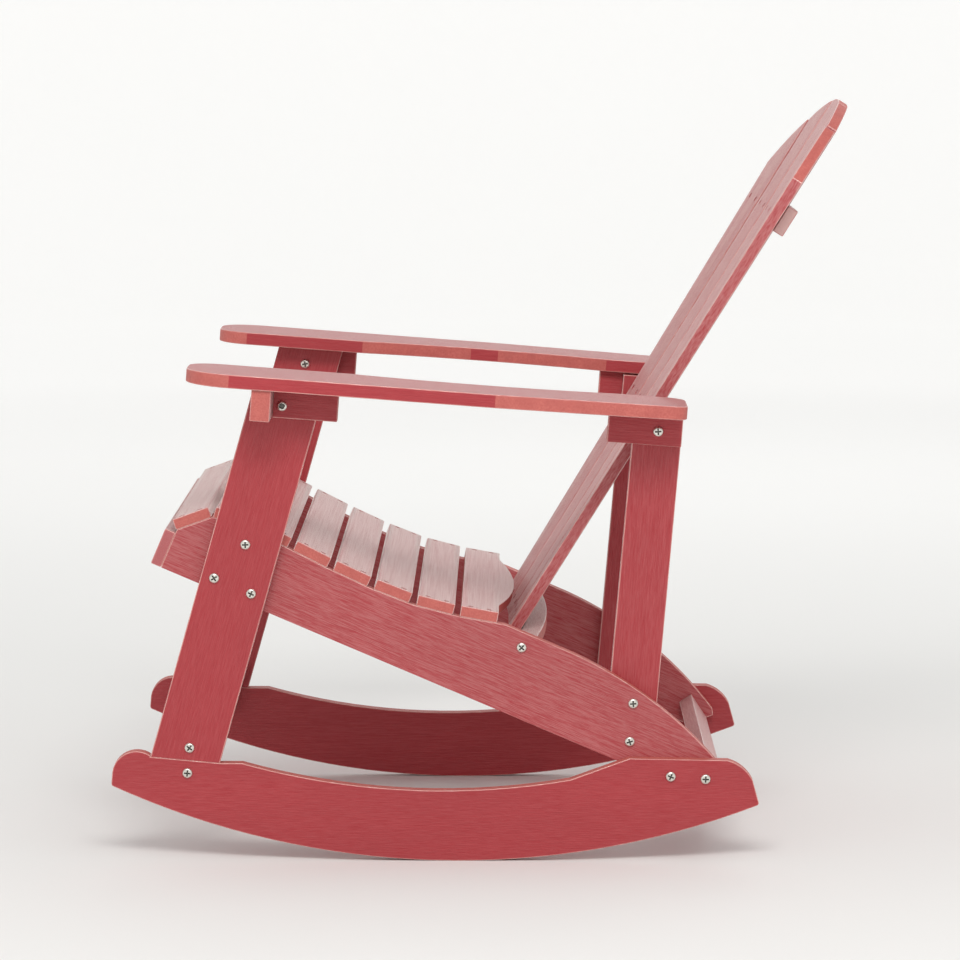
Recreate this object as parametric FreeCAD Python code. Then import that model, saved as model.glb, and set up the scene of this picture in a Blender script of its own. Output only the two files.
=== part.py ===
import FreeCAD, Part
import math
import os

from FreeCAD import Vector

# A rocking garden chair of foam plastic boards, screwed together.
# All sizes are in millimetres. The sitter faces -Y, +X is at the sitter's left, and Z is up.
# Side views are drawn in (y, z), with y measured from where the level rockers touch the floor.
# The finished chair is moved along Y, so that its origin lies under the middle of its box.

# Stock that the chair is cut from
board = 17.0                    # thickness of rockers, legs, rails, arms and cleats
slat = 14.0                     # thickness of seat and back slats
slat_width = 48.0               # seat slats and apron
edge_round = 2.0                # milled rounding along the boards' edges
fit_gap = 0.3                   # room between pieces that are cut to fit each other
seat_width = 533.0              # length of the seat slats, over both rails

# Rockers
rocker_radius = 1050.0          # curve that rolls on the floor
rocker_front = 440.6            # reach of the rocker ahead of the floor contact
rocker_rear = 384.9             # reach behind it
rocker_round = 4.0              # rounding of its two lower corners
nose_front_height = 14.0        # straight front edge below the nose
nose_front_angle = 85.0         # degrees from level
nose_radius = 31.5              # rounded top of the nose
nose_length = 50.5              # from the tip to the pad that the front leg stands on
pad_height = 134.2              # front end of that pad, above the floor
pad_step = 1.5                  # the pad is cut in below the nose by this
pad_slope = 5.2                 # degrees, falling to the rear
pad_length = 89.5
shelf_length = 27.5             # level top behind the pad
waist_radius = 940.0            # hollow between the shelf and the ramp
ramp_length = 75.0              # slope between the hollow and the rear deck
ramp_rise = 27.5
deck_front = 218.6              # top of the rocker under the rail's tail
deck_rear = 344.6
deck_height = 132.7             # its front end, above the floor
deck_drop = 2.2                 # and how much lower its rear end is
shoulder_radius = 50.0          # rounded end of the deck
shoulder_width = 31.5
shoulder_drop = 25.5

# Legs
front_leg_width = 87.2
front_leg_lean = 15.85          # degrees from upright, the top to the rear
rear_leg_width = 62.0
rear_leg_lean = 4.9
rear_leg_lift = 3.0             # its foot, above the rail's lower edge
rear_screw_depth = 10.7         # the leg's top screw, behind the middle back slat's front face
rear_screw_drop = 3.0           # the same screw, below the middle of the rear cleat
arm_clearance = 2.5             # room between the legs' tops and the arms
foot_cleat_width = 60.0
foot_cleat_height = 70.0        # half of it on the leg, half on the rocker

# Seat rails, which run from the apron down to the rockers' tails
rail_depth = 104.8              # width of the board that the rail is cut from
rail_slope = 23.19              # degrees, falling to the rear
rail_front_reach = 388.9        # the apron's lower front corner, ahead of the floor contact
rail_front_height = 380.8       # and above the floor
rail_length = 770.0             # along the lower edge
rail_tail = 26.0                # the tail's tip, past the end of the lower edge
rail_tail_rise = 26.0
rail_tail_edge = 9.5            # short straight end of the tail
rail_tail_angle = 97.0          # degrees from level
tail_curve_length = 257.0       # the tail's rounded top
tail_curve_radius = 540.0

# Seat slats, from the nose of the seat to its back
slat_slopes = [19.8, -18.0, -27.0, -27.0, -25.2, -21.5, -14.5, -10.3]   # degrees
slat_gap = 8.1
nose_gap = 10.6                 # wider gap behind the nose slat
nose_lift = 16.9                # the nose slat's top, above the apron's upper edge
nose_overhang = 3.7             # and ahead of it
last_slat_bulge = 20.0          # rounded rear edge of the last slat
last_slat_shoulder = 61.5       # straight length at each end of that edge

# Arms
arm_height = 609.3              # top of the arm, above the floor contact
arm_slope = 4.25                # degrees, falling to the rear
arm_front = 338.4               # reach of the arm ahead of the floor contact
arm_rear_overhang = 0.5         # reach past the rear leg's top
arm_width = 128.0
arm_overlap = 30.5              # how far the arm reaches in past the rail's outer face
arm_front_outer_round = 57.0
arm_front_inner_round = 40.0
arm_rear_inner_round = 25.0
arm_rear_outer_round = 18.0
arm_taper = 21.0                # the outer edge draws in by this towards the rear
arm_taper_length = 240.0
arm_scoop = 19.0                # hollow in the inner edge
arm_scoop_front = 137.4         # its ends, ahead of the floor contact and behind it
arm_scoop_rear = 201.6

# Cleats and brackets that carry the arms
front_cleat_height = 39.0       # also the bracket's height
front_cleat_length = 81.7
rear_cleat_height = 42.0
rear_cleat_length = 94.5
rear_cleat_inset = 0.3          # its rear end, ahead of the rear leg's edge
bracket_thickness = 24.5
bracket_length = 76.5
bracket_inset = 1.3             # its front face, behind the front leg's edge
bolt_inset = 41.6               # the cleat's bolt, behind the front leg's edge
bolt_drop = 4.0                 # and below the middle of the cleat

# Back
back_lean = 31.9                # degrees from upright
back_reach = 117.9              # a point on the middle slat's front face, behind the contact
back_height = 351.0             # the same point, above the floor
back_radius = 1800.0            # hollow of the back, across the chair
back_slat_count = 5
back_slat_gap = 5.0
back_foot = 100.0               # the slats' lower ends, below that point
back_shoulder = 600.0           # outer corners of the arched top, above that point
back_width_low = 356.0          # over all slats at their lower ends
back_width_high = 482.0         # and at the shoulders
arch_radius = 305.0             # rounded top of the back
batten_level = 548.0            # middle of the upper batten, up the slats
batten_width = 37.0
batten_inset = 36.3             # its ends, in from the outer slats' edges
crossbar_depth = 42.0           # rear edge of the crossbar, behind the middle slat's front face
lower_rail_drop = 86.5          # the board at the slats' feet, its underside below that point
lower_rail_depth = 25.0         # its top, from the middle slat to its rounded rear edge
lower_rail_radius = 1800.0

# Board across the rails' tails
cross_board_width = 40.0
cross_board_thickness = 20.0
cross_board_angle = 57.0        # degrees from level
cross_board_inset = 10.0        # from the tail's tip, along the tail's end cut

# Screws
head_radius = 6.5
head_height = 3.2
head_top_radius = 4.0
head_rim = 1.2
shank_radius = 2.5
shank_play = 0.2
shank_sides = 8
screw_bite = 13.0               # length of the thread in the second board
end_bite = 26.0                 # and in the end of a cross piece
sleeve_radius = 3.2
sleeve_length = 9.0
leg_screw_inset = 17.0          # from the leg's front edge and the rail's lower edge
leg_screw_rear_inset = 20.0     # from the leg's rear edge
leg_screw_high = 72.0           # the upper screw, above the rail's lower edge
foot_screw_offset = 16.4        # above and below the rocker's pad
foot_screw_shift = 4.2          # behind the middle of the leg
tail_screws = ((56.0, 11.0), (14.0, 25.5))    # ahead of the lower edge's end, above the edge
rear_leg_screws = (29.0, 76.0)  # above the rail's lower edge

# Planes across the chair
rail_outer = seat_width / 2
rail_inner = rail_outer - board
leg_outer = rail_outer + board
rear_leg_inner = rail_inner - board
arm_inner = rail_outer - arm_overlap


def polar(angle):
    """Unit step at an angle in degrees."""
    return math.cos(math.radians(angle)), math.sin(math.radians(angle))


def step(point, angle, distance):
    """The point at a distance from another, at an angle in degrees."""
    ahead, up = polar(angle)
    return point[0] + ahead * distance, point[1] + up * distance


def meet(first, first_angle, second, second_angle):
    """Where the line through one point crosses the line through another."""
    a, b = polar(first_angle)
    c, d = polar(second_angle)
    across = second[0] - first[0]
    up = second[1] - first[1]
    distance = (across * d - up * c) / (a * d - b * c)
    return step(first, first_angle, distance)


def bowed(start, end, radius):
    """Middle of the arc from start to end, bulging to the left of the way there."""
    length = math.dist(start, end)
    rise = radius - math.sqrt(radius**2 - length**2 / 4)
    angle = math.degrees(math.atan2(end[1] - start[1], end[0] - start[0]))
    return step(step(start, angle, length / 2), angle + 90, rise)


class Plane:
    """A drawing plane. Its outlines are extruded along its normal."""

    def __init__(self, origin, along, up):
        self.origin = origin
        self.along = along
        self.up = up
        self.normal = along.cross(up)

    def at(self, u, v, lift=0.0):
        return self.origin + self.along * u + self.up * v + self.normal * lift


def side_plane(x):
    return Plane(Vector(x, 0, 0), Vector(0, 1, 0), Vector(0, 0, 1))


class Bow(tuple):
    """A point that the arc between its neighbours in an outline passes through."""


def corner_round(before, corner, after, radius):
    """Start, middle and end of the arc that rounds a corner."""
    arrive = math.atan2(before[1] - corner[1], before[0] - corner[0])
    leave = math.atan2(after[1] - corner[1], after[0] - corner[0])
    half = abs((leave - arrive + math.pi) % (2 * math.pi) - math.pi) / 2
    run = radius / math.tan(half)
    start = step(corner, math.degrees(arrive), run)
    end = step(corner, math.degrees(leave), run)
    bisector = math.atan2(start[1] + end[1] - 2 * corner[1], start[0] + end[0] - 2 * corner[0])
    middle = step(corner, math.degrees(bisector), radius / math.sin(half) - radius)
    return start, middle, end


def outline(plane, corners):
    """Closed wire through corners (u, v) or rounded corners (u, v, radius), with Bow arcs."""
    stops = []
    for i, corner in enumerate(corners):
        if isinstance(corner, Bow) or len(corner) == 2:
            stops.append(corner)
            continue
        before = corners[i - 1]
        after = corners[(i + 1) % len(corners)]
        start, middle, end = corner_round(before[:2], corner[:2], after[:2], corner[2])
        stops += [start, Bow(middle), end]
    edges = []
    i = 0
    while i < len(stops):
        here = plane.at(*stops[i])
        ahead = stops[(i + 1) % len(stops)]
        if isinstance(ahead, Bow):
            end = plane.at(*stops[(i + 2) % len(stops)])
            edges.append(Part.Arc(here, plane.at(*ahead), end).toShape())
            i += 2
        else:
            edges.append(Part.makeLine(here, plane.at(*ahead)))
            i += 1
    return Part.Wire(edges)


def plate(plane, corners, thickness):
    """Flat board with the given outline, extruded from the plane."""
    face = Part.Face(outline(plane, corners))
    return face.extrude(plane.normal * thickness)


def mirrored(shape):
    return shape.mirror(Vector(0, 0, 0), Vector(1, 0, 0))


def stands_at(edge, point):
    """Whether an edge runs across the board at a point of the side view."""
    return all(math.dist((end.Y, end.Z), point) < fit_gap for end in edge.Vertexes)


def only_solid(shape):
    """The one solid that a cut leaves."""
    if len(shape.Solids) != 1:
        raise ValueError("a cut left %d solids" % len(shape.Solids))
    return shape.Solids[0]


# Lines of the side view

def floor_curve(y):
    """Height of the rocker's lower edge."""
    return rocker_radius - math.sqrt(rocker_radius**2 - y**2)


pad_front = (nose_length - rocker_front, pad_height)
pad_rear = step(pad_front, -pad_slope, pad_length)
rail_foot = (-rail_front_reach, rail_front_height)


def on_rail(u, v):
    """A point u along the rail's lower edge and v above it."""
    return step(step(rail_foot, -rail_slope, u), 90 - rail_slope, v)


def on_arm(a, drop=0.0):
    """A point a behind the floor contact along the arm, and drop below the arm's top."""
    return step(step((0.0, arm_height), -arm_slope, a), -90 - arm_slope, drop)


def arm_reach(point):
    """How far along the arm a point of the side view lies."""
    ahead, up = polar(-arm_slope)
    return point[0] * ahead + (point[1] - arm_height) * up


def on_back(s, n=0.0):
    """A point s up the middle back slat's front face, and n behind it."""
    return step(step((back_reach, back_height), 90 - back_lean, s), -back_lean, n)


def lower_rail_foot():
    """Height of the lower back rail's underside."""
    return back_height - lower_rail_drop


def lower_rail_rear():
    """How far behind the floor contact that rail's rounded rear edge reaches."""
    top = (0.0, lower_rail_foot() + board)
    return meet(on_back(0, slat), 90 - back_lean, top, 0.0)[0] + lower_rail_depth


def lower_rail_bow():
    """How far the rounded edge falls back at the rail's ends."""
    return rail_inner**2 / (2 * lower_rail_radius)


def front_leg_line(inset):
    """A point on the line that runs up the front leg, behind its front edge."""
    return step(pad_front, -front_leg_lean, inset)


def rear_screw():
    """Where the screw through the rear cleat and the rear leg holds the back's crossbar."""
    level = on_arm(0, board + rear_cleat_height / 2 + rear_screw_drop)
    return meet(on_back(0, rear_screw_depth), 90 - back_lean, level, -arm_slope)


def crossbar_level():
    """How far up the slats the middle of the crossbar lies."""
    ahead, up = polar(90 - back_lean)
    point = rear_screw()
    return (point[0] - back_reach) * ahead + (point[1] - back_height) * up


def rear_leg_line(inset):
    """A point on the line that runs up the rear leg, behind its front edge."""
    return step(rear_screw(), -rear_leg_lean, inset - rear_leg_width / 2)


def rear_leg_top(inset, drop):
    """Where that line crosses a line along the arm, drop below the arm's top."""
    return meet(rear_leg_line(inset), 90 - rear_leg_lean, on_arm(0, drop), -arm_slope)


def slat_tops():
    """Front and rear upper corner of each seat slat, with its slope."""
    start = on_rail(slat, slat_width)
    start = (start[0] - nose_overhang, start[1] + nose_lift)
    corners = [(start, step(start, slat_slopes[0], slat_width), slat_slopes[0])]
    gap = nose_gap
    for slope in slat_slopes[1:]:
        front, rear, last_slope = corners[-1]
        start = step(rear, (last_slope + slope) / 2, gap)
        corners.append((start, step(start, slope, slat_width), slope))
        gap = slat_gap
    return corners


# Screws: a head on the outer face, its shank in a pilot hole with as few sides as the shank

def shank_prism(x, point, length, radius):
    """Straight shank or hole, from the face at x towards the chair's middle."""
    turns = [2 * math.pi * i / shank_sides for i in range(shank_sides + 1)]
    ring = [Vector(x, point[0] + radius * math.cos(turn), point[1] + radius * math.sin(turn))
            for turn in turns]
    return Part.Face(Part.makePolygon(ring)).extrude(Vector(-length, 0, 0))


def screw(x, point, shank, radius=shank_radius):
    """Screw along X, with its head on the face at x."""
    seat = Vector(x, point[0], point[1])
    out = Vector(1, 0, 0)
    rim = Part.makeCylinder(head_radius, head_rim, seat, out)
    crown = Part.makeCone(head_radius, head_top_radius, head_height - head_rim,
                          seat + out * head_rim, out)
    return only_solid(rim.fuse([crown, shank_prism(x, point, shank, radius)]).removeSplitter())


def pilot_hole(x, point, shank, radius=shank_radius):
    return shank_prism(x, point, shank + fit_gap, radius + shank_play)


def side_fixings():
    """For each set at the sitter's left: the face at its heads, and its places and shanks."""
    long_edge = 90 - front_leg_lean
    low = on_rail(0, leg_screw_inset)
    high = on_rail(0, leg_screw_high)
    insets = (leg_screw_inset, front_leg_width - leg_screw_rear_inset)
    leg_to_rail = [meet(front_leg_line(inset), long_edge, low, -rail_slope) for inset in insets]
    leg_to_rail.append(meet(front_leg_line(front_leg_width / 2), long_edge, high, -rail_slope))
    foot_line = front_leg_line(front_leg_width / 2 + foot_screw_shift)
    foot = meet(foot_line, long_edge, pad_front, -pad_slope)
    feet = [step(foot, side * 90 - pad_slope, foot_screw_offset) for side in (1, -1)]
    short = board + screw_bite
    tail = [(on_rail(rail_length - ahead, above), shank) for (ahead, above), shank
            in zip(tail_screws, (short, 2 * board + end_bite))]
    rear_line = rear_leg_line(rear_leg_width / 2)
    rear_edge = 90 - rear_leg_lean
    rear = [meet(rear_line, rear_edge, on_rail(0, above), -rail_slope)
            for above in rear_leg_screws]
    lower = (lower_rail_rear() - lower_rail_bow() - board, lower_rail_foot() + board / 2)
    return {
        "leg_to_rail_screws": (leg_outer, [(point, short) for point in leg_to_rail]),
        "foot_screws": (leg_outer, [(point, short) for point in feet]),
        "rocker_to_rail_screws": (leg_outer, tail),
        "lower_back_rail_screws": (rail_outer, [(lower, board + end_bite)]),
        "rear_leg_screws": (rail_outer, [(point, short) for point in rear]),
        "rear_cleat_screws": (rail_outer, [(rear_screw(), 2 * board + end_bite)]),
    }


def front_cleat_place():
    """Where the bolt through the front cleat and the leg lies."""
    level = on_arm(0, board + front_cleat_height / 2 + bolt_drop)
    return meet(front_leg_line(bolt_inset), 90 - front_leg_lean, level, -arm_slope)


# Side pieces, drawn for the sitter's left

def make_rocker():
    tip = (-rocker_front, floor_curve(rocker_front))
    nose_low = step(tip, nose_front_angle, nose_front_height)
    nose_end = (pad_front[0], pad_front[1] + pad_step)
    nose = bowed(nose_low, nose_end, nose_radius)
    shelf_rear = (pad_rear[0] + shelf_length, pad_rear[1])
    ramp = (deck_front - ramp_length, deck_height - ramp_rise)
    waist = bowed(ramp, shelf_rear, waist_radius)
    deck_end = (deck_rear, deck_height - deck_drop)
    shoulder = (deck_rear + shoulder_width, deck_end[1] - shoulder_drop)
    heel = (rocker_rear, floor_curve(rocker_rear))
    corners = [tip, nose_low, Bow(nose), nose_end, pad_front, pad_rear, shelf_rear, Bow(waist),
               ramp, (deck_front, deck_height), deck_end,
               Bow(bowed(deck_end, shoulder, shoulder_radius)), shoulder, heel, Bow((0.0, 0.0))]
    shape = plate(side_plane(rail_outer), corners, board)
    ends = [edge for edge in shape.Edges if stands_at(edge, tip) or stands_at(edge, heel)]
    return shape.makeFillet(rocker_round, ends)


def make_front_leg():
    edge = 90 - front_leg_lean
    top = on_arm(0, board + arm_clearance)
    foot_rear = meet(front_leg_line(front_leg_width), edge, pad_front, -pad_slope)
    top_rear = meet(front_leg_line(front_leg_width), edge, top, -arm_slope)
    top_front = meet(pad_front, edge, top, -arm_slope)
    return plate(side_plane(rail_outer), [pad_front, foot_rear, top_rear, top_front], board)


def make_foot_cleat():
    """Block behind the joint of the leg and the rocker."""
    edge = 90 - front_leg_lean
    inset = (front_leg_width - foot_cleat_width) / 2
    corners = []
    for distance, side in ((inset, 1), (front_leg_width - inset, 1),
                           (front_leg_width - inset, -1), (inset, -1)):
        start = meet(front_leg_line(distance), edge, pad_front, -pad_slope)
        corners.append(step(start, edge, side * foot_cleat_height / 2))
    return plate(side_plane(rail_inner), corners, board)


def make_rail():
    """Side rail of the seat, its top cut to the slats' undersides."""
    corners = [on_rail(slat, 0.0), on_rail(rail_length, 0.0)]
    tip = on_rail(rail_length + rail_tail, rail_tail_rise)
    corners.append(tip)
    tail_top = step(tip, rail_tail_angle, rail_tail_edge)
    corners.append(tail_top)
    start = on_rail(rail_length + rail_tail - tail_curve_length, rail_depth)
    corners += [Bow(bowed(start, tail_top, tail_curve_radius)), start]
    unders = [(step(front, slope - 90, slat), step(rear, slope - 90, slat), slope)
              for front, rear, slope in slat_tops()]
    last_front, last_rear, last_slope = unders[-1]
    corners.append(meet(last_rear, last_slope, on_rail(0, rail_depth), -rail_slope))
    for i, (front, rear, slope) in reversed(list(enumerate(unders))):
        if i < len(unders) - 1:
            corners.append(rear)
        if i > 0:
            corners.append(front)
        else:
            corners.append(meet(rear, slope, on_rail(slat, 0.0), 90 - rail_slope))
    return plate(side_plane(rail_inner), corners, board)


def make_rear_leg():
    edge = 90 - rear_leg_lean
    foot = on_rail(0, rear_leg_lift)
    corners = [meet(rear_leg_line(0), edge, foot, -rail_slope),
               meet(rear_leg_line(rear_leg_width), edge, foot, -rail_slope),
               rear_leg_top(rear_leg_width, board + arm_clearance),
               rear_leg_top(0, board + arm_clearance)]
    return plate(side_plane(rear_leg_inner), corners, board)


def make_arm():
    along = Vector(0, *polar(-arm_slope))
    plane = Plane(Vector(0, *on_arm(0, board)), Vector(1, 0, 0), along)
    outer = arm_inner + arm_width
    rear = arm_reach(rear_leg_top(rear_leg_width, board)) + arm_rear_overhang
    scoop_middle = (arm_scoop_rear - arm_scoop_front) / 2
    corners = [(arm_inner, -arm_front, arm_front_inner_round),
               (outer, -arm_front, arm_front_outer_round),
               (outer, rear - arm_taper_length),
               (outer - arm_taper, rear, arm_rear_outer_round),
               (arm_inner, rear, arm_rear_inner_round),
               (arm_inner, arm_scoop_rear),
               Bow((arm_inner + arm_scoop, scoop_middle)),
               (arm_inner, -arm_scoop_front)]
    return plate(plane, corners, board)


def arm_block(x, front, length, height, width):
    """Block under the arm, its top against the arm's underside."""
    rear = front + length
    corners = [on_arm(front, board + height), on_arm(rear, board + height),
               on_arm(rear, board), on_arm(front, board)]
    return plate(side_plane(x), corners, width)


def bracket_front():
    """Front face of the bracket, along the arm."""
    under = on_arm(0, board)
    corner = meet(pad_front, 90 - front_leg_lean, under, -arm_slope)
    return arm_reach(corner) + bracket_inset


def make_front_cleat():
    front = bracket_front() + bracket_thickness + fit_gap
    return arm_block(leg_outer, front, front_cleat_length, front_cleat_height, board)


def make_bracket():
    return arm_block(leg_outer, bracket_front(), bracket_thickness, front_cleat_height,
                     bracket_length)


def make_rear_cleat():
    leg_rear = rear_leg_top(rear_leg_width, board + rear_cleat_height / 2)
    front = arm_reach(leg_rear) - rear_cleat_inset - rear_cleat_length
    return arm_block(rail_inner, front, rear_cleat_length, rear_cleat_height, board)


# Seat

def seat_board(front, slope, depth, width=slat_width):
    """Straight slat across both rails, its front upper corner at a point of the side view."""
    rear = step(front, slope, width)
    low_front = step(front, slope - 90, depth)
    low_rear = step(rear, slope - 90, depth)
    corners = [point + (edge_round,) for point in (low_front, low_rear, rear, front)]
    return plate(side_plane(-rail_outer), corners, seat_width)


def make_apron():
    return seat_board(on_rail(0, 0.0), 90 - rail_slope, slat)


def make_last_slat(front, slope):
    """Rear slat of the seat, its rear edge bulging towards the hollow back."""
    along = Vector(0, *polar(slope))
    low = Vector(0, *step(front, slope - 90, slat))
    plane = Plane(low, Vector(1, 0, 0), along)
    shoulder = rail_outer - last_slat_shoulder
    corners = [(-rail_outer, 0.0), (rail_outer, 0.0), (rail_outer, slat_width),
               (shoulder, slat_width), Bow((0.0, slat_width + last_slat_bulge)),
               (-shoulder, slat_width), (-rail_outer, slat_width)]
    return plate(plane, corners, slat)


# Back: s runs up the middle slat's front face, and n runs to the rear from it

back_up = Vector(0, math.sin(math.radians(back_lean)), math.cos(math.radians(back_lean)))
back_rear = Vector(0, math.cos(math.radians(back_lean)), -math.sin(math.radians(back_lean)))
back_point = Vector(0, back_reach, back_height)
back_spread = (back_width_high - back_width_low) / (back_shoulder + back_foot)


def back_width(s):
    """Width over all back slats at a height up the back."""
    return back_width_low + back_spread * (s + back_foot)


def slat_rear():
    """How far behind the hollow of their front faces the flat slats' rear edges stand."""
    widest = back_width(back_shoulder) / back_slat_count
    return slat + (widest / 2)**2 / (2 * back_radius)


def arch_crossing(offset, spread):
    """Height where an edge at offset + spread * s meets the round top."""
    centre = back_shoulder - math.sqrt(arch_radius**2 - back_width(back_shoulder)**2 / 4)
    a = 1 + spread**2
    b = offset * spread - centre
    c = offset**2 + centre**2 - arch_radius**2
    return (-b + math.sqrt(b**2 - a * c)) / a


def make_back_slat(place):
    """Flat slat in the fanned, hollow back. Place counts out from the middle slat."""
    middle_level = (back_shoulder - back_foot) / 2
    pitch = (back_width(middle_level) + back_slat_gap) / back_slat_count
    centre = place * pitch
    turn = centre / back_radius
    across = Vector(1, 0, 0) * math.cos(turn) - back_rear * math.sin(turn)
    seat = back_point + Vector(centre, 0, 0) - back_rear * (centre**2 / (2 * back_radius))
    plane = Plane(seat, across, back_up)

    def edge(side):
        """Offset and spread of a slat's edge, from the line of the slat's middle."""
        share = (place + side / 2) / back_slat_count
        offset = share * (back_width(0.0) + back_slat_gap) - side * back_slat_gap / 2
        return offset, share * back_spread

    def corner(side, s):
        offset, spread = edge(side)
        return offset + spread * s - centre, s

    left = arch_crossing(*edge(-1))
    right = arch_crossing(*edge(1))
    arch_centre = back_shoulder - math.sqrt(arch_radius**2 - back_width(back_shoulder)**2 / 4)
    top = math.sqrt(arch_radius**2 - centre**2) + arch_centre
    corners = [corner(-1, -back_foot), corner(1, -back_foot), corner(1, right),
               Bow((0.0, top)), corner(-1, left)]
    return plate(plane, corners, -slat)


def hollow_round(extra):
    """Round that the back's boards are cut to, extra behind the slats' front faces."""
    foot = back_point - back_rear * back_radius - back_up * back_shoulder
    return Part.makeCylinder(back_radius + extra, 2 * back_shoulder, foot, back_up)


def back_bar(level, width, half_length, rear):
    """Board across the slats' rear faces, its front edge cut to them."""
    plane = Plane(back_point + back_up * (level - width / 2), Vector(1, 0, 0), back_rear)
    slack = half_length**2 / (2 * back_radius)
    corners = [(-half_length, -slack), (half_length, -slack), (half_length, rear),
               (-half_length, rear)]
    return plate(plane, corners, width).cut(hollow_round(slat_rear() + fit_gap))


def make_batten():
    """Strip bent to the slats' rear faces."""
    half_length = back_width(batten_level) / 2 - batten_inset
    block = back_bar(batten_level, batten_width, half_length, 3 * slat)
    return block.common(hollow_round(slat_rear() + slat + fit_gap))


def make_crossbar():
    return back_bar(crossbar_level(), board, rear_leg_inner, crossbar_depth)


def make_lower_rail():
    """Level board behind the slats' feet, its front edge bevelled to them."""
    plane = Plane(Vector(0, 0, lower_rail_foot()), Vector(1, 0, 0), Vector(0, 1, 0))
    rear = lower_rail_rear()
    front = rear - 2 * lower_rail_depth
    ends = rear - lower_rail_bow()
    corners = [(-rail_inner, front), (rail_inner, front), (rail_inner, ends),
               Bow((0.0, rear)), (-rail_inner, ends)]
    return plate(plane, corners, board).cut(hollow_round(slat_rear() + fit_gap))


def make_cross_board():
    """Board across the rails' tails, its lower edge on the tails' end cut."""
    tip = on_rail(rail_length + rail_tail, rail_tail_rise)
    heel = on_rail(rail_length, 0.0)
    cut = math.degrees(math.atan2(heel[1] - tip[1], heel[0] - tip[0]))
    low_rear = step(tip, cut, cross_board_inset)
    high_rear = step(low_rear, 180 - cross_board_angle, cross_board_width)
    low_front = step(low_rear, 270 - cross_board_angle, cross_board_thickness)
    high_front = step(high_rear, 270 - cross_board_angle, cross_board_thickness)
    corners = [low_front, low_rear, high_rear, high_front]
    return plate(side_plane(-rail_inner), corners, 2 * rail_inner)


def make_parts():
    """All pieces by name, before the chair is moved over its origin."""
    fixings = side_fixings()
    bolt = front_cleat_place()
    bolt_shank = 2 * board - sleeve_length - fit_gap
    holes = [pilot_hole(x, point, shank) for x, places in fixings.values()
             for point, shank in places]
    holes.append(pilot_hole(leg_outer + board, bolt, bolt_shank))
    holes.append(pilot_hole(rail_outer + sleeve_length, bolt, sleeve_length, sleeve_radius))
    left_holes = Part.makeCompound(holes)
    right_holes = mirrored(left_holes)

    parts = {}

    def add_pair(name, shape):
        drilled = only_solid(shape.cut(left_holes))
        parts[name + "_left"] = drilled
        parts[name + "_right"] = mirrored(drilled)

    def add_middle(name, shape):
        parts[name] = only_solid(shape.cut(left_holes).cut(right_holes))

    add_pair("rocker", make_rocker())
    add_pair("front_leg", make_front_leg())
    add_pair("foot_cleat", make_foot_cleat())
    add_pair("seat_rail", make_rail())
    add_pair("rear_leg", make_rear_leg())
    add_pair("arm", make_arm())
    add_pair("front_arm_cleat", make_front_cleat())
    add_pair("front_arm_bracket", make_bracket())
    add_pair("rear_arm_cleat", make_rear_cleat())

    parts["seat_apron"] = make_apron()
    slats = slat_tops()
    for i, (front, rear, slope) in enumerate(slats):
        if i < len(slats) - 1:
            parts["seat_slat_%d" % (i + 1)] = seat_board(front, slope, slat)
        else:
            parts["seat_slat_%d" % (i + 1)] = make_last_slat(front, slope)
    for i in range(back_slat_count):
        parts["back_slat_%d" % (i + 1)] = make_back_slat(i - (back_slat_count - 1) / 2)
    add_middle("back_batten_upper", make_batten())
    add_middle("back_crossbar", make_crossbar())
    add_middle("lower_back_rail", make_lower_rail())
    add_middle("rear_cross_board", make_cross_board())

    for name, (x, places) in fixings.items():
        left = [screw(x, point, shank) for point, shank in places]
        parts[name] = Part.makeCompound(left + [mirrored(item) for item in left])
    bolts = [screw(leg_outer + board, bolt, bolt_shank)]
    parts["front_cleat_bolts"] = Part.makeCompound(bolts + [mirrored(item) for item in bolts])
    nut = screw(0.0, (0.0, 0.0), sleeve_length, sleeve_radius)
    nut = mirrored(nut)
    nut.translate(Vector(rail_outer, bolt[0], bolt[1]))
    parts["front_cleat_nuts"] = Part.makeCompound([nut, mirrored(nut)])
    return parts


def main():
    os.makedirs("parts", exist_ok=True)
    parts = make_parts()
    box = Part.makeCompound(list(parts.values())).optimalBoundingBox()
    shift = Vector(0, -(box.YMin + box.YMax) / 2, 0)
    for name, shape in parts.items():
        shape.translate(shift)
        shape.exportStep("parts/%s.step" % name)
    print("%d nodes, %.1f x %.1f x %.1f mm, moved %.2f mm along Y"
          % (len(parts), box.XLength, box.YLength, box.ZLength, shift.y))


main()
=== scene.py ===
import math
import random
from typing import NamedTuple

import bmesh
import bpy
from mathutils import Matrix, Vector


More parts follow.
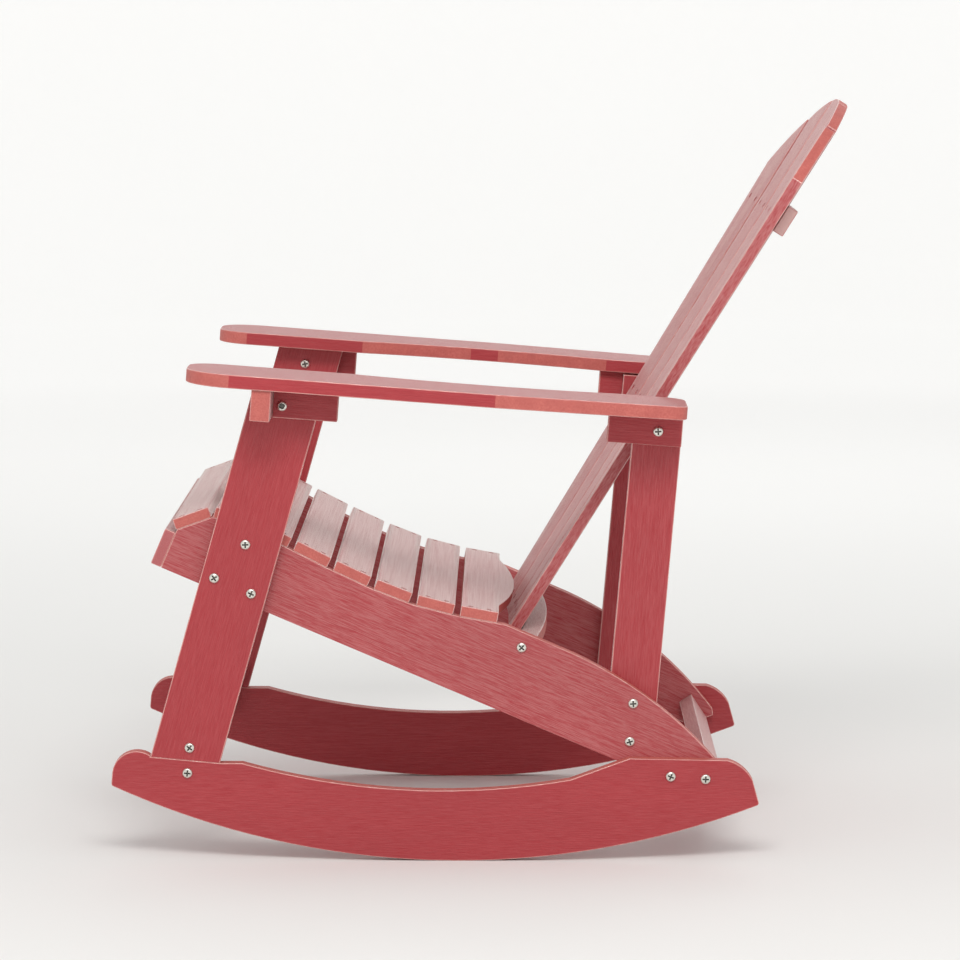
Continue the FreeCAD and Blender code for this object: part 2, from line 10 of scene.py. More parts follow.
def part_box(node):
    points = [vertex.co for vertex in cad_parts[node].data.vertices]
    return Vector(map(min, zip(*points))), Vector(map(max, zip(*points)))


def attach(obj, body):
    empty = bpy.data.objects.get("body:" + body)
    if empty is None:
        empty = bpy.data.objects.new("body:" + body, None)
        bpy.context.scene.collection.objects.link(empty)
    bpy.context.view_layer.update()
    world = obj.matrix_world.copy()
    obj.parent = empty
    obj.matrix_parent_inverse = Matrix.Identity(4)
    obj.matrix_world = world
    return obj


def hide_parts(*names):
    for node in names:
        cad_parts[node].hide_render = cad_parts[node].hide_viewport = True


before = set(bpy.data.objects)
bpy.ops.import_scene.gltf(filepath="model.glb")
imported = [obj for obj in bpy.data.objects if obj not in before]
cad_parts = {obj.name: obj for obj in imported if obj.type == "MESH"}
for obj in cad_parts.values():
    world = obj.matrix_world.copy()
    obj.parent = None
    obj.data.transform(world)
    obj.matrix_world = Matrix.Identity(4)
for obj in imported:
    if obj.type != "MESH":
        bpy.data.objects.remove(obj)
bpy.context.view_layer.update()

# A rocking garden chair of red foam plastic boards, with steel screws.
# Sizes are in metres, in the chair's own frame: the sitter faces -Y, and +X is at the sitter's left.

# Camera, at the chair's left side and a little above it, with a long lens
CAMERA_PLACE = (5.2303, 0.0305, 1.0987)
CAMERA_AIM = (-0.992475, -0.007174, -0.122234)      # the way that it looks
CAMERA_LENS = 148.3                                 # in mm, as is the sensor's width
CAMERA_SENSOR = 36.0

# Studio: a round floor that curves up into a wall and glows a little, far from the chair
FLOOR_RADIUS = 8.0
FLOOR_HUB = 0.16                # radius of the disc in the middle of the floor
FLOOR_SIDES = 96
COVE_RADIUS = 2.5
COVE_STEPS = 16
WALL_TOP = 4.0
FLOOR_TINT = (0.80, 0.80, 0.79)
FLOOR_SHADE = 0.985             # of the darker clouds in the floor, as a share of its tint
FLOOR_CLOUDS = (0.9, 0.9, 0.9)
FLOOR_SPECKS = (0.004, 0.004, 0.004)
FLOOR_SPECK_DEPTH = 0.0001
FLOOR_ROUGHNESS = (0.82, 0.9)
GLOW = 0.30
GLOW_REACH = (1.0, 6.0)         # the glow rises between these distances from the middle
GLOW_TOP = (1.8, 3.2)           # and ends on the wall between these heights
GLOW_TINT = (1.0, 1.0, 1.0)
SKY_TINT = (1.0, 0.995, 0.985)
SKY_STRENGTH = 0.75

LIGHT_AIM = (0.0, 0.0, 0.4)     # the point that every light looks at

# Soft lights, as (place, size, watts, tint)
LIGHTS = {
    "key": ((3.3, 0.0, 3.4), (2.6, 1.2), 95.0, (1.0, 0.99, 0.97)),
    "behind": ((-4.0, 0.5, 2.6), (3.0, 1.6), 20.0, (1.0, 1.0, 1.0)),
}

# Colours of the moulded skin, of sawn or milled faces, of rounded edges, paler as a painted highlight,
# and of screws, with painted shade in their recesses
SKIN_LIGHT = (0.400, 0.024, 0.033)
SKIN_DARK = (0.345, 0.018, 0.026)
MILLED_LIGHT = (0.560, 0.150, 0.122)
MILLED_DARK = (0.440, 0.088, 0.076)
PAINTED_HIGHLIGHT_LIGHT = (0.740, 0.360, 0.320)
PAINTED_HIGHLIGHT_DARK = (0.500, 0.130, 0.120)
PALE_GRAIN_AND_PAINTED_LIGHT = (0.790, 0.630, 0.600)    # paler grain and streaks, which also stand for painted sheen and reflection on tops, and painted light on cut ends
DEEPER = 0.88                   # of the clouds in a board, as a share of its dark colour
STEEL_LIGHT = (0.80, 0.78, 0.72)
STEEL_DARK = (0.64, 0.62, 0.57)
PAINTED_SHADE_RECESS_LIGHT = (0.16, 0.15, 0.14)
PAINTED_SHADE_RECESS_DARK = (0.07, 0.07, 0.06)

# Gloss. A pair of roughnesses is for the least and the most of a pattern.
SHEEN_TINT = (1.0, 0.96, 0.92)
SHEEN_ROUGHNESS = 0.30
SKIN_IOR = 1.25                 # without sheen
SHEEN_IOR = 0.5                 # what full sheen adds to it
SKIN_ROUGHNESS = 0.46
EDGE_ROUGHNESS = 0.22
STREAK_GLOSS = 0.05             # how much a streak takes off the roughness, or adds to it
MILLED_ROUGHNESS = (0.66, 0.52)
STEEL_ROUGHNESS = (0.20, 0.38)

# Patterns, by the size of their features: along a board, across it and through it
SKIN_CLOUDS = (0.30, 0.08, 0.08)
STREAK_WIDTH = 0.0010
GRAIN = (0.009, 0.0007, 0.0007)
PITS = (0.0016, 0.0009, 0.0009)
FOAM = (0.0022, 0.0022, 0.0022)
FOAM_CLOUDS = (0.016, 0.012, 0.012)
SAW_MARKS = (0.0028, 0.05, 0.05)
STEEL_HAZE = (0.0024, 0.0024, 0.0024)
STEEL_SCRATCHES = (0.0016, 0.0003, 0.0030)
BOARD_SHIFT = (7.0, 3.0, 5.0)   # the most that a board's patterns are shifted against another's

# Contrast of the patterns. A range is the part of a noise that is stretched, and the narrower it
# is, the harder the pattern. A share is of the colour that the pattern brings.
MOST_OF_NOISE = (0.3, 0.7)
TONE_RANGE = (0.32, 0.68)
CLOUD_RANGE = (0.38, 0.66)
CLOUD_SHARE = 0.40
PALE_STREAK_RANGE = (0.40, 0.60)
PALE_STREAK_SHARE = 0.6         # times a board's own share of grain, as is the next
PALE_GRAIN_SHARE = 0.5
FOAM_CLOUD_RANGE = (0.35, 0.65)
PAINTED_LIGHT_RANGE = (0.2, 0.8)
LEAST_PAINTED_LIGHT = 0.8               # as a share of the most

# Depths of their relief
GRAIN_DEPTH = 0.00020
STREAK_DEPTH = 0.00040
PIT_DEPTH = 0.00005
FOAM_DEPTH = 0.00035
SAW_MARK_DEPTH = 0.00018
SCRATCH_DEPTH = 0.00004

# Slopes of the boards, in degrees up from level and rearward
RAIL_SLOPE = -23.19
ARM_SLOPE = -4.25
FRONT_LEG_SLOPE = 74.15
REAR_LEG_SLOPE = 85.1
BACK_SLOPE = 58.1

SIDE = Vector((1, 0, 0))
UP = Vector((0, 0, 1))


def in_side_view(degrees):
    """Direction in the side view, at an angle up from level and rearward."""
    angle = math.radians(degrees)
    return Vector((0, math.cos(angle), math.sin(angle)))


class Board(NamedTuple):
    """How one kind of board lies, how it was cut and how it looks.

    The cut says which faces lost their moulded skin. With "none" it is no face, with "ends" the two
    ends, and with "outline" every face between the two flat sides. It is "upper" where a straight
    lower edge keeps its skin, and "shaped" where all straight long edges do.
    """
    along: Vector               # its long way
    flat: Vector                # the way through its thickness
    cut: str
    grain: float = 0.04         # share of the paler colour in the streaks and grain of its skin, partly painted sheen where it is high
    painted_light: float = 0.0          # share of the paler colour in its cut faces, which is painted light
    sheen: float = 0.5          # how much its skin shines at a low angle
    streak: float = 0.028       # length of the streaks in its skin


SEAT_STREAK = 0.14
# The seat slats' large share of paler grain is mostly painted sheen on their tops.
SEAT_SLAT = Board(SIDE, UP, "ends", grain=0.62, sheen=1.0, streak=SEAT_STREAK)

# Boards by the first words of their names
BOARDS = {
    "rocker": Board(in_side_view(0), SIDE, "outline"),
    "front_leg": Board(in_side_view(FRONT_LEG_SLOPE), SIDE, "ends"),
    "foot_cleat": Board(in_side_view(FRONT_LEG_SLOPE), SIDE, "ends"),
    "seat_rail": Board(in_side_view(RAIL_SLOPE), SIDE, "upper", grain=0.17),
    "rear_leg": Board(in_side_view(REAR_LEG_SLOPE), SIDE, "ends", grain=0.06),
    "arm": Board(in_side_view(ARM_SLOPE), in_side_view(ARM_SLOPE + 90), "shaped", grain=0.02),
    "front_arm_cleat": Board(in_side_view(ARM_SLOPE), SIDE, "ends"),
    "rear_arm_cleat": Board(in_side_view(ARM_SLOPE), SIDE, "ends"),
    "front_arm_bracket": Board(SIDE, in_side_view(ARM_SLOPE), "ends"),
    "seat_apron": Board(SIDE, in_side_view(RAIL_SLOPE), "none", grain=0.17, sheen=1.0,
                        streak=SEAT_STREAK),
    "seat_slat": SEAT_SLAT,
    "seat_slat_8": SEAT_SLAT._replace(cut="shaped"),
    "back_slat": Board(in_side_view(BACK_SLOPE), in_side_view(BACK_SLOPE - 90), "ends",
                       grain=0.25, sheen=0.4),
    # The upper batten's paler cut ends are painted light.
    "back_batten_upper": Board(SIDE, in_side_view(BACK_SLOPE - 90), "ends", grain=0.25, painted_light=0.7),
    "back_crossbar": Board(SIDE, in_side_view(BACK_SLOPE), "outline"),
    # The lower back rail's large share of paler grain is a painted reflection on its top.
    "lower_back_rail": Board(SIDE, UP, "outline", grain=0.90, sheen=1.0),
    "rear_cross_board": Board(SIDE, UP, "ends", grain=0.25),
}
SEAT_SLATS = ["seat_slat_%d" % (i + 1) for i in range(8)]
BACK_SLATS = ["back_slat_%d" % (i + 1) for i in range(5)]

# Rounding of the boards' edges
EDGE_ROUND = 0.0011
SLAT_ROUND = 0.0009
EDGE_STEPS = 3
SHARP_ANGLE = math.radians(32)
FLAT_ANGLE = math.radians(0.5)  # faces that turn by less are one face
LARGE_FACE_WEIGHT = 80          # how much large faces count in the shading, where 50 is evenly

# Tolerances: distances under which points are one point, or lie on a face, and cosines from which
# a face looks one way, at all or exactly
SAME_POINT = 1e-5
ON_FACE = 1e-4
TOWARDS = 0.5
WELL_TOWARDS = 0.7
SQUARE = 0.999
TAPER_SQUARE = 0.9999           # tells a board's straight edge from its tapered one

# Screw heads, as (radius, height over the board), from the rim of the recess to the shank's end
PAN_HEAD = ((0.0043, 0.0032), (0.0049, 0.0030), (0.0057, 0.0025), (0.0062, 0.0018),
            (0.0065, 0.0010), (0.0065, 0.0), (0.0025, 0.0), (0.0025, -0.012))
FLUSH_HEAD = ((0.0025, -0.0011), (0.0030, -0.0011), (0.0033, -0.0013), (0.0033, -0.0018),
              (0.0017, -0.0036), (0.0017, -0.012))
FLUSH_HOLE = (0.0039, 0.0024)               # radius and depth of the hole that such a head lies in
HEAD_SIDES = 28

# Cross recesses in the heads, as (half length, half width, depth)
PAN_RECESS = (0.0041, 0.0010, 0.0030)
BOLT_RECESS = (0.0037, 0.0021, 0.0030)      # broad, nearly a socket
FLUSH_RECESS = (0.0021, 0.0006, 0.0012)
RECESS_FLOOR = 0.75                         # size of the recess's floor, as a share of its mouth

SEAT_SCREW_OFFSET = 0.012                   # from the middle of a seat slat
BACK_SCREW_OFFSET = 0.27                    # from the middle of a back slat, as a share of its width
LAST_SLAT_SHARE = 0.70                      # straight part of the last slat's width, before its bulge


# Node materials

MIX_SHARE, MIX_FIRST, MIX_SECOND = 0, 6, 7  # the inputs of a mix node that are for colours
MIX_RESULT = 2                              # and its output


class Shader:
    """A node material, put together with few calls."""

    def __init__(self, name):
        self.material = bpy.data.materials.new(name)
        self.material.use_nodes = True
        self.tree = self.material.node_tree
        self.tree.nodes.clear()
        self.surface = self.add("ShaderNodeBsdfPrincipled")
        output = self.add("ShaderNodeOutputMaterial")
        self.link(self.surface.outputs["BSDF"], output.inputs["Surface"])

    def add(self, kind, **settings):
        """Node of a kind, with some of its settings."""
        node = self.tree.nodes.new(kind)
        for key, value in settings.items():
            setattr(node, key, value)
        return node

    def link(self, output, socket):
        self.tree.links.new(output, socket)

    def set_surface(self, **values):
        """Gives the surface's own sockets values that are the same all over."""
        for words, value in values.items():
            self.surface.inputs[words.replace("_", " ")].default_value = value

    def board_coordinates(self, along):
        """Place in a board's own frame, X along it, shifted at random from board to board."""
        place = self.add("ShaderNodeTexCoord").outputs["Object"]
        turned = self.add("ShaderNodeMapping", vector_type="TEXTURE")
        turned.inputs["Rotation"].default_value = along.to_track_quat("X", "Z").to_euler()
        self.link(place, turned.inputs["Vector"])
        shift = self.add("ShaderNodeVectorMath", operation="MULTIPLY_ADD")
        own = self.add("ShaderNodeObjectInfo").outputs["Random"]
        self.link(own, shift.inputs[0])
        shift.inputs[1].default_value = BOARD_SHIFT
        self.link(turned.outputs["Vector"], shift.inputs[2])
        return shift.outputs["Vector"]

    def noise(self, vector, size, detail=3.0, roughness=0.55):
        """Noise from 0 to 1, whose features have the given size along each axis."""
        scaled = self.add("ShaderNodeVectorMath", operation="DIVIDE")
        self.link(vector, scaled.inputs[0])
        scaled.inputs[1].default_value = size
        node = self.add("ShaderNodeTexNoise")
        node.inputs["Scale"].default_value = 1.0
        node.inputs["Detail"].default_value = detail
        node.inputs["Roughness"].default_value = roughness
        self.link(scaled.outputs["Vector"], node.inputs["Vector"])
        return node.outputs["Fac"]

    def remap(self, value, source, target):
        """Value stretched from one range, given by its two ends, to another, and held there."""
        node = self.add("ShaderNodeMapRange")
        self.link(value, node.inputs["Value"])
        for key, number in zip(("From Min", "From Max", "To Min", "To Max"), (*source, *target)):
            node.inputs[key].default_value = number
        return node.outputs["Result"]

    def blend(self, share, first, second):
        """Colour between two others. Each is a colour or the output of a node."""
        node = self.add("ShaderNodeMix", data_type="RGBA")
        self.link(share, node.inputs[MIX_SHARE])
        for socket, colour in ((node.inputs[MIX_FIRST], first), (node.inputs[MIX_SECOND], second)):
            if isinstance(colour, tuple):
                socket.default_value = (*colour, 1.0)
            else:
                self.link(colour, socket)
        return node.outputs[MIX_RESULT]

    def bump(self, height, depth, under=None):
        """Relief of a depth in metres, over the relief that lies under it."""
        node = self.add("ShaderNodeBump")
        node.inputs["Distance"].default_value = depth
        self.link(height, node.inputs["Height"])
        if under is not None:
            self.link(under, node.inputs["Normal"])
        return node.outputs["Normal"]

    def finish(self, colour, roughness, normal):
        """The material, once its colour, roughness and relief are linked to the surface."""
        self.link(colour, self.surface.inputs["Base Color"])
        self.link(roughness, self.surface.inputs["Roughness"])
        self.link(normal, self.surface.inputs["Normal"])
        return self.material


def darkened(colour, share):
    """Colour of which only a share is left."""
    return tuple(channel * share for channel in colour)


def skin_material(name, board, light, dark, rough):
    """Moulded skin with a fine grain along the board, which looks light at a low angle. Its paler
    streaks and grain are partly painted sheen.
    """
    shader = Shader(name)
    shader.set_surface(Sheen_Weight=board.sheen, Sheen_Roughness=SHEEN_ROUGHNESS,
                       Sheen_Tint=(*SHEEN_TINT, 1.0), IOR=SKIN_IOR + SHEEN_IOR * board.sheen)
    place = shader.board_coordinates(board.along)
    cloud = shader.noise(place, SKIN_CLOUDS, detail=2.0)
    streak = shader.noise(place, (board.streak, STREAK_WIDTH, STREAK_WIDTH), roughness=0.60)
    grain = shader.noise(place, GRAIN, detail=2.0)
    pitting = shader.noise(place, PITS, detail=1.0)
    tone = shader.blend(shader.remap(streak, TONE_RANGE, (0.0, 1.0)), dark, light)
    deep = shader.remap(cloud, CLOUD_RANGE, (CLOUD_SHARE, 0.0))
    tone = shader.blend(deep, tone, darkened(dark, DEEPER))
    # Paler streaks and grain: the skin's own grain, with painted sheen and reflection where a board's
    # share is high.
    grain_and_painted_sheen = shader.remap(streak, PALE_STREAK_RANGE, (0.0, PALE_STREAK_SHARE * board.grain))
    tone = shader.blend(grain_and_painted_sheen, tone, PALE_GRAIN_AND_PAINTED_LIGHT)
    grain_and_painted_sheen = shader.remap(grain, MOST_OF_NOISE, (0.0, PALE_GRAIN_SHARE * board.grain))
    colour = shader.blend(grain_and_painted_sheen, tone, PALE_GRAIN_AND_PAINTED_LIGHT)
    relief = shader.bump(grain, GRAIN_DEPTH)
    relief = shader.bump(streak, STREAK_DEPTH, relief)
    relief = shader.bump(pitting, PIT_DEPTH, relief)
    shine = shader.remap(streak, MOST_OF_NOISE, (rough + STREAK_GLOSS, rough - STREAK_GLOSS))
    return shader.finish(colour, shine, relief)


def milled_material(name, board, light, dark):
    """Sawn or milled foam: paler, duller and finely pitted."""
    shader = Shader(name)
    place = shader.board_coordinates(board.along)
    foam = shader.noise(place, FOAM, detail=4.0, roughness=0.7)
    cloud = shader.noise(place, FOAM_CLOUDS)
    marks = shader.noise(place, SAW_MARKS, detail=2.0)
    tone = shader.blend(shader.remap(foam, MOST_OF_NOISE, (0.0, 1.0)), dark, light)
    deep = shader.remap(cloud, FOAM_CLOUD_RANGE, (CLOUD_SHARE, 0.0))
    tone = shader.blend(deep, tone, darkened(dark, DEEPER))
    # Paler cut faces, by a board's share: painted light.
    painted_light = shader.remap(foam, PAINTED_LIGHT_RANGE, (LEAST_PAINTED_LIGHT * board.painted_light, board.painted_light))
    colour = shader.blend(painted_light, tone, PALE_GRAIN_AND_PAINTED_LIGHT)
    relief = shader.bump(foam, FOAM_DEPTH)
    relief = shader.bump(marks, SAW_MARK_DEPTH, relief)
    return shader.finish(colour, shader.remap(foam, MOST_OF_NOISE, MILLED_ROUGHNESS), relief)


def steel_material(name, light, dark):
    """Stainless steel, brushed by the tool that drove it."""
    shader = Shader(name)
    place = shader.add("ShaderNodeTexCoord").outputs["Object"]
    haze = shader.noise(place, STEEL_HAZE)
    scratch = shader.noise(place, STEEL_SCRATCHES, detail=2.0)
    colour = shader.blend(haze, dark, light)
    relief = shader.bump(scratch, SCRATCH_DEPTH)
    shader.set_surface(Metallic=1.0)
    return shader.finish(colour, shader.remap(haze, MOST_OF_NOISE, STEEL_ROUGHNESS), relief)


# Places in a board's list of materials, the last for rounded edges with a painted highlight, and the
# place in a screw's of the dark steel that is painted shade in its recess
SKIN, MILLED, PAINTED_HIGHLIGHT_EDGE = range(3)
PAINTED_SHADE_RECESS = 1

finishes = {}


def board_finishes(board):
    """Skin, milled and edge materials, shared by boards that run one way and look alike. The edge
    material's paler colour is a painted highlight.
    """
    look = (board.grain, board.painted_light, board.sheen, board.streak)
    key = (tuple(round(part, 4) for part in board.along), look)
    if key not in finishes:
        number = len(finishes) + 1
        finishes[key] = (
            skin_material("skin_%d" % number, board, SKIN_LIGHT, SKIN_DARK, SKIN_ROUGHNESS),
            milled_material("milled_%d" % number, board, MILLED_LIGHT, MILLED_DARK),
            skin_material("edge_%d" % number, board._replace(sheen=1.0), PAINTED_HIGHLIGHT_LIGHT, PAINTED_HIGHLIGHT_DARK,
                          EDGE_ROUGHNESS),
        )
    return finishes[key]


# Objects

def add_object(name, data):
    """Object of a mesh, a light or a camera, in the scene."""
    thing = bpy.data.objects.new(name, data)
    bpy.context.collection.objects.link(thing)
    return thing


def add_mesh(name, body):
    """Object of a mesh that was put together in a body, which is used up."""
    mesh = bpy.data.meshes.new(name)
    body.to_mesh(mesh)
    body.free()
    return add_object(name, mesh)


def bridge(body, first, second):
    """Faces between two rings of as many points."""
    return [body.faces.new((first[i - 1], first[i], second[i], second[i - 1]))
            for i in range(len(first))]


# Boards

def is_cut(board, normal):
    """Whether a face was sawn or milled. The long, flat faces of the stock keep their skin."""
    if board.cut == "none":
        return False
    if board.cut == "ends":
        return abs(normal.dot(board.along)) > TOWARDS
    if abs(normal.dot(board.flat)) > TOWARDS:
        return False
    if board.cut == "outline":
        return True
    edge = board.along.cross(board.flat)
    if board.cut == "upper":
        return abs(normal.dot(edge)) < SQUARE or normal.z > 0
    return abs(normal.dot(edge)) < TAPER_SQUARE


def find_board(name):
    """The row of BOARDS with the longest name that fits, or None."""
    fits = [key for key in BOARDS if name == key or name.startswith(key + "_")]
    return BOARDS[max(fits, key=len)] if fits else None


def dress_board(node, board):
    """Gives a board its materials, and rounds its edges."""
    mesh = node.data
    mesh.materials.clear()
    for material in board_finishes(board):
        mesh.materials.append(material)
    for face in mesh.polygons:
        face.material_index = MILLED if is_cut(board, face.normal) else SKIN
        face.use_smooth = True
    # The mesh is in patches of triangles, which do not share their points. They are joined, and then
    # merged into flat faces, so that only real edges are left to round.
    weld = node.modifiers.new("weld", "WELD")
    weld.merge_threshold = SAME_POINT
    flatten = node.modifiers.new("flatten", "DECIMATE")
    flatten.decimate_type = "DISSOLVE"
    flatten.angle_limit = FLAT_ANGLE
    flatten.delimit = {"MATERIAL"}
    rounded = node.modifiers.new("rounded_edges", "BEVEL")
    rounded.width = SLAT_ROUND if "_slat_" in node.name else EDGE_ROUND
    rounded.segments = EDGE_STEPS
    rounded.limit_method = "ANGLE"
    rounded.angle_limit = SHARP_ANGLE
    rounded.use_clamp_overlap = False
    rounded.harden_normals = False
    # The rounded edges take the edge material, whose paler colour is a painted highlight.
    rounded.material = PAINTED_HIGHLIGHT_EDGE
    node.modifiers.new("normals", "WEIGHTED_NORMAL").weight = LARGE_FACE_WEIGHT


# Screws

def loose_parts(node):
    """Box of each separate solid in a node, as (lowest corner, highest corner)."""
    body = bmesh.new()
    body.from_mesh(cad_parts[node].data)
    bmesh.ops.remove_doubles(body, verts=body.verts[:], dist=SAME_POINT)
    waiting = set(body.verts)
    boxes = []
    while waiting:
        group = {waiting.pop()}
        front = list(group)
        while front:
            vertex = front.pop()
            near = {edge.other_vert(vertex) for edge in vertex.link_edges} - group
            group |= near
            front += list(near)
        waiting -= group
        corners = [[vertex.co[axis] for vertex in group] for axis in range(3)]
        boxes.append((Vector([min(part) for part in corners]), Vector([max(part) for part in corners])))
    body.free()
    return sorted(boxes, key=lambda box: tuple(box[0]))


def stand_at(place, out):
    """Matrix that stands a thing, which was made along Z, at a place and along out."""
    return Matrix.Translation(place) @ out.to_track_quat("Z", "Y").to_matrix().to_4x4()


def add_screw(body, place, out, profile, recess, turn):
    """Turned screw with a cross recess in its head, which looks along out."""
    half_length, half_width, depth = recess
    stand = stand_at(place, out) @ Matrix.Rotation(turn, 4, "Z")

    def ring(points, height):
        return [body.verts.new(stand @ Vector((x, y, height))) for x, y in points]

    # Head and shank, ring by ring, with a flat end
    spokes = [2 * math.pi * i / HEAD_SIDES for i in range(HEAD_SIDES)]
    rings = [ring([(radius * math.cos(spoke), radius * math.sin(spoke)) for spoke in spokes], height)
             for radius, height in profile]
    for inner, outer in zip(rings, rings[1:]):
        bridge(body, outer, inner)
    body.faces.new(reversed(rings[-1]))

    # Recess, whose outline is the same three corners in each quarter, and whose faces take dark steel
    # as painted shade
    arm = [(half_length, -half_width), (half_length, half_width), (half_width, half_width)]
    cross = []
    for quarter in range(4):
        spin = Matrix.Rotation(quarter * math.pi / 2, 2)
        cross += [tuple(spin @ Vector(corner)) for corner in arm]
    top = profile[0][1]
    mouth = ring(cross, top)
    floor = ring([(x * RECESS_FLOOR, y * RECESS_FLOOR) for x, y in cross], top - depth)
    for face in bridge(body, mouth, floor) + [body.faces.new(floor)]:
        face.material_index = PAINTED_SHADE_RECESS

    # Flat top between the head's first ring and the mouth of the recess
    loop = [body.edges.get((rings[0][i - 1], rings[0][i])) for i in range(HEAD_SIDES)]
    loop += [body.edges.get((mouth[i - 1], mouth[i])) for i in range(len(mouth))]
    bmesh.ops.triangle_fill(body, edges=loop, normal=out)


def sink_screws(name, places, boards):
    """Round holes in some boards, each at a place that a flush screw's head is to lie in."""
    radius, depth = FLUSH_HOLE
    body = bmesh.new()
    for place, out in places:
        bmesh.ops.create_cone(body, cap_ends=True, segments=HEAD_SIDES, radius1=radius,
                              radius2=radius, depth=2 * depth, matrix=stand_at(place, out))
    cutter = add_mesh(name, body)
    cutter.hide_render = True
    cutter.hide_viewport = True
    for board in boards:
        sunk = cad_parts[board].modifiers.new("sunk_screws", "BOOLEAN")
        sunk.operation = "DIFFERENCE"
        sunk.solver = "EXACT"
        sunk.object = cutter


def screw_piece(name, places, profile, recess):
    """One piece with a screw at each place, which is a point and the way that its head looks."""
    dice = random.Random(name)
    body = bmesh.new()
    for place, out in places:
        add_screw(body, place, out, profile, recess, dice.uniform(0, math.pi / 2))
    bmesh.ops.recalc_face_normals(body, faces=body.faces[:])
    piece = add_mesh(name, body)
    mesh = piece.data
    for material in screw_materials:
        mesh.materials.append(material)
    for face in mesh.polygons:
        face.use_smooth = True
    mesh.set_sharp_from_angle(angle=SHARP_ANGLE)
    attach(piece, "root")
    return piece


def side_screws(node, inward=False, recess=PAN_RECESS):
    """Screws along X in place of a node's plain ones."""
    head_height = PAN_HEAD[0][1]
    places = []
    for low, high in loose_parts(node):
        middle = (low + high) / 2
        side = 1 if middle.x > 0 else -1
        out = SIDE * (-side if inward else side)
        face = high.x if out.x > 0 else low.x
        places.append((Vector((face, middle.y, middle.z)) - out * head_height, out))
    piece = screw_piece(node + "_turned", places, PAN_HEAD, recess)
    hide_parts(node)


def widest_face(node, towards):
    """A point and the normal of a node's widest flat face towards a side, from its largest triangle."""
    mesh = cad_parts[node].data
    facing = [face for face in mesh.polygons if face.normal.dot(towards) > WELL_TOWARDS]
    largest = max(facing, key=lambda face: face.area)
    return largest.center.copy(), largest.normal.copy()


def face_span(node, point, normal, across):
    """Ends of a flat face, across it."""
    reach = [vertex.co.dot(across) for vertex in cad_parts[node].data.vertices
             if abs((vertex.co - point).dot(normal)) < ON_FACE]
    return min(reach), max(reach)


def seat_screws():
    """Two flush screws through each end of every seat slat and of the apron."""
    low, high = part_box("seat_rail_left")
    rail = (low.x + high.x) / 2
    # Each board with the way that its outer face looks
    boards = [(name, UP) for name in SEAT_SLATS] + [("seat_apron", in_side_view(180 + RAIL_SLOPE))]
    places = []
    for name, towards in boards:
        point, normal = widest_face(name, towards)
        across = normal.cross(SIDE)
        start, end = face_span(name, point, normal, across)
        if name == SEAT_SLATS[-1]:
            end = start + (end - start) * LAST_SLAT_SHARE
        middle = point + across * ((start + end) / 2 - point.dot(across))
        for x in (-rail, rail):
            for side in (-1, 1):
                place = middle + across * side * SEAT_SCREW_OFFSET
                places.append((Vector((x, place.y, place.z)), normal))
    sink_screws("seat_screw_holes", places, [name for name, towards in boards])
    screw_piece("seat_slat_screws", places, FLUSH_HEAD, FLUSH_RECESS)


def level_points(node, up, level):
    """Where a node's edges cross a level, measured along up."""
    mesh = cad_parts[node].data
    points = []
    for edge in mesh.edges:
        first, second = (mesh.vertices[i].co for i in edge.vertices)
        start = first.dot(up) - level
        end = second.dot(up) - level
        if start * end < 0:
            points.append(first.lerp(second, start / (start - end)))
    return points


def back_screws():
    """Two flush screws through each back slat into each board behind it."""
    up = in_side_view(BACK_SLOPE)
    front = in_side_view(BACK_SLOPE + 90)
    places = []
    for board in ("back_batten_upper", "back_crossbar", "lower_back_rail"):
        heights = [vertex.co.dot(up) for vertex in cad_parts[board].data.vertices]
        level = (min(heights) + max(heights)) / 2
        for slat in BACK_SLATS:
            point, normal = widest_face(slat, front)
            on_face = [place for place in level_points(slat, up, level)
                       if abs((place - point).dot(normal)) < ON_FACE]
            left = min(on_face, key=lambda place: place.x)
            right = max(on_face, key=lambda place: place.x)
            for share in (0.5 - BACK_SCREW_OFFSET, 0.5 + BACK_SCREW_OFFSET):
                places.append((left.lerp(right, share), normal))
    sink_screws("back_screw_holes", places, BACK_SLATS)
    screw_piece("back_slat_screws", places, FLUSH_HEAD, FLUSH_RECESS)


# Studio

def studio_material():
    """Pale, matt floor that glows a little, far from its middle and not at the wall's top."""
    shader = Shader("studio_floor")
    place = shader.add("ShaderNodeTexCoord").outputs["Object"]
    cloud = shader.noise(place, FLOOR_CLOUDS, detail=2.0)
    speckle = shader.noise(place, FLOOR_SPECKS, detail=2.0)
    colour = shader.blend(cloud, darkened(FLOOR_TINT, FLOOR_SHADE), FLOOR_TINT)
    shine = shader.remap(cloud, MOST_OF_NOISE, FLOOR_ROUGHNESS)
    relief = shader.bump(speckle, FLOOR_SPECK_DEPTH)
    reach = shader.add("ShaderNodeVectorMath", operation="LENGTH")
    shader.link(place, reach.inputs[0])
    parts = shader.add("ShaderNodeSeparateXYZ")
    shader.link(place, parts.inputs["Vector"])
    glow = shader.add("ShaderNodeMath", operation="MULTIPLY")
    shader.link(shader.remap(reach.outputs["Value"], GLOW_REACH, (0.0, GLOW)), glow.inputs[0])
    shader.link(shader.remap(parts.outputs["Z"], GLOW_TOP, (1.0, 0.0)), glow.inputs[1])
    shader.link(glow.outputs["Value"], shader.surface.inputs["Emission Strength"])
    shader.set_surface(Emission_Color=(*GLOW_TINT, 1.0))
    return shader.finish(colour, shine, relief)


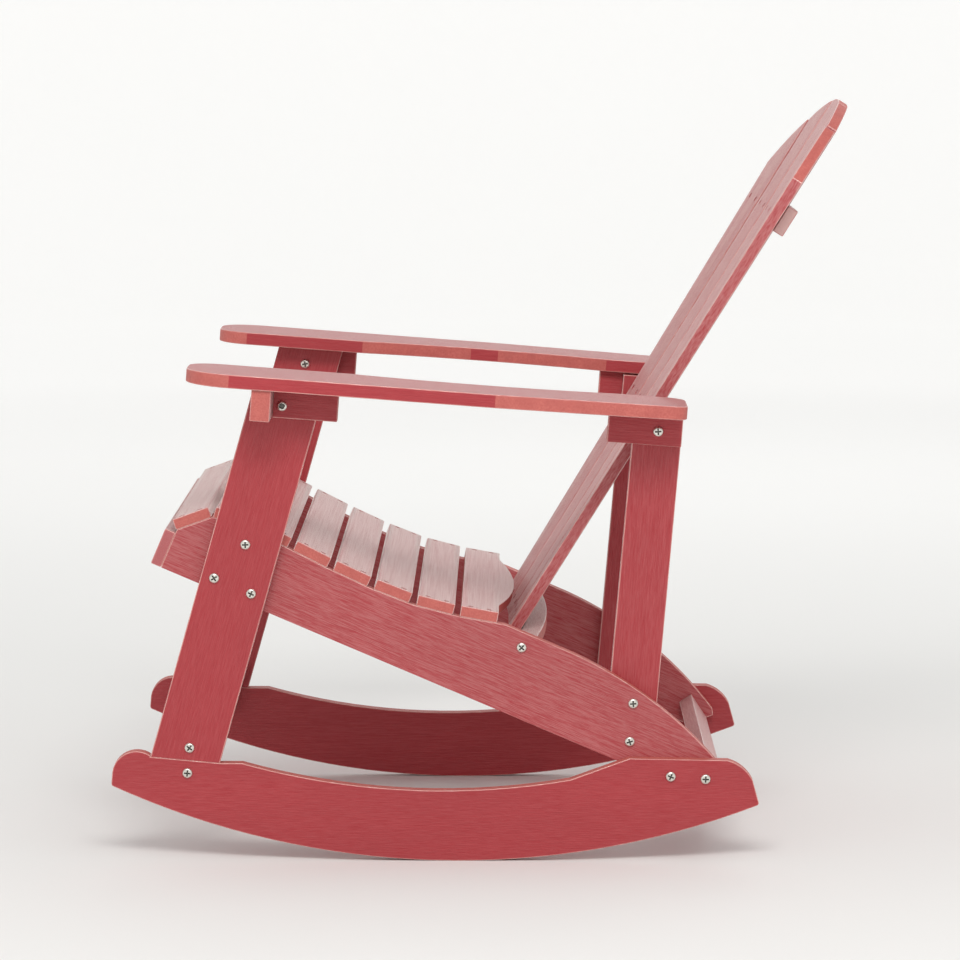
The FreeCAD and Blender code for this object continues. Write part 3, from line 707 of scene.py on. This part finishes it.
def studio_floor():
    """Round floor that curves up into a wall far from the chair."""
    profile = [(FLOOR_HUB, 0.0), (FLOOR_RADIUS, 0.0)]
    for i in range(1, COVE_STEPS + 1):
        angle = math.pi / 2 * i / COVE_STEPS
        profile.append((FLOOR_RADIUS + COVE_RADIUS * math.sin(angle),
                        COVE_RADIUS * (1 - math.cos(angle))))
    profile.append((FLOOR_RADIUS + COVE_RADIUS, WALL_TOP))
    body = bmesh.new()
    spokes = [2 * math.pi * i / FLOOR_SIDES for i in range(FLOOR_SIDES)]
    rings = [[body.verts.new((radius * math.cos(spoke), radius * math.sin(spoke), height))
              for spoke in spokes] for radius, height in profile]
    for inner, outer in zip(rings, rings[1:]):
        bridge(body, inner, outer)
    body.faces.new(rings[0])
    bmesh.ops.recalc_face_normals(body, faces=body.faces[:])
    floor = add_mesh("studio_floor", body)
    for face in floor.data.polygons:
        face.use_smooth = True
    floor.data.materials.append(studio_material())


def add_light(name, place, size, power, tint):
    """Soft rectangular light that looks at the chair."""
    lamp = bpy.data.lights.new(name, "AREA")
    lamp.shape = "RECTANGLE"
    lamp.size, lamp.size_y = size
    lamp.energy = power
    lamp.color = tint
    light = add_object(name, lamp)
    light.location = place
    way = Vector(LIGHT_AIM) - Vector(place)
    light.rotation_euler = way.to_track_quat("-Z", "Y").to_euler()


def add_sky():
    """Even light from all around."""
    world = bpy.data.worlds.new("studio")
    bpy.context.scene.world = world
    world.use_nodes = True
    background = world.node_tree.nodes["Background"]
    background.inputs["Color"].default_value = (*SKY_TINT, 1.0)
    background.inputs["Strength"].default_value = SKY_STRENGTH


def add_camera():
    data = bpy.data.cameras.new("camera")
    data.lens = CAMERA_LENS
    data.sensor_width = CAMERA_SENSOR
    camera = add_object("camera", data)
    camera.location = CAMERA_PLACE
    camera.rotation_euler = Vector(CAMERA_AIM).to_track_quat("-Z", "Y").to_euler()
    bpy.context.scene.camera = camera


bpy.context.scene.view_settings.view_transform = "Standard"
add_camera()
add_sky()
studio_floor()
for name, (place, size, power, tint) in LIGHTS.items():
    add_light(name, place, size, power, tint)

# The second steel is dark, as painted shade in the screws' recesses.
screw_materials = (steel_material("screw_steel", STEEL_LIGHT, STEEL_DARK),
                   steel_material("painted_shade_recess_steel", PAINTED_SHADE_RECESS_LIGHT, PAINTED_SHADE_RECESS_DARK))
for name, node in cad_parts.items():
    board = find_board(name)
    if board:
        dress_board(node, board)
for name in ("leg_to_rail_screws", "foot_screws", "rocker_to_rail_screws", "lower_back_rail_screws",
             "rear_leg_screws", "rear_cleat_screws"):
    side_screws(name)
side_screws("front_cleat_bolts", recess=BOLT_RECESS)
side_screws("front_cleat_nuts", inward=True)
seat_screws()
back_screws()
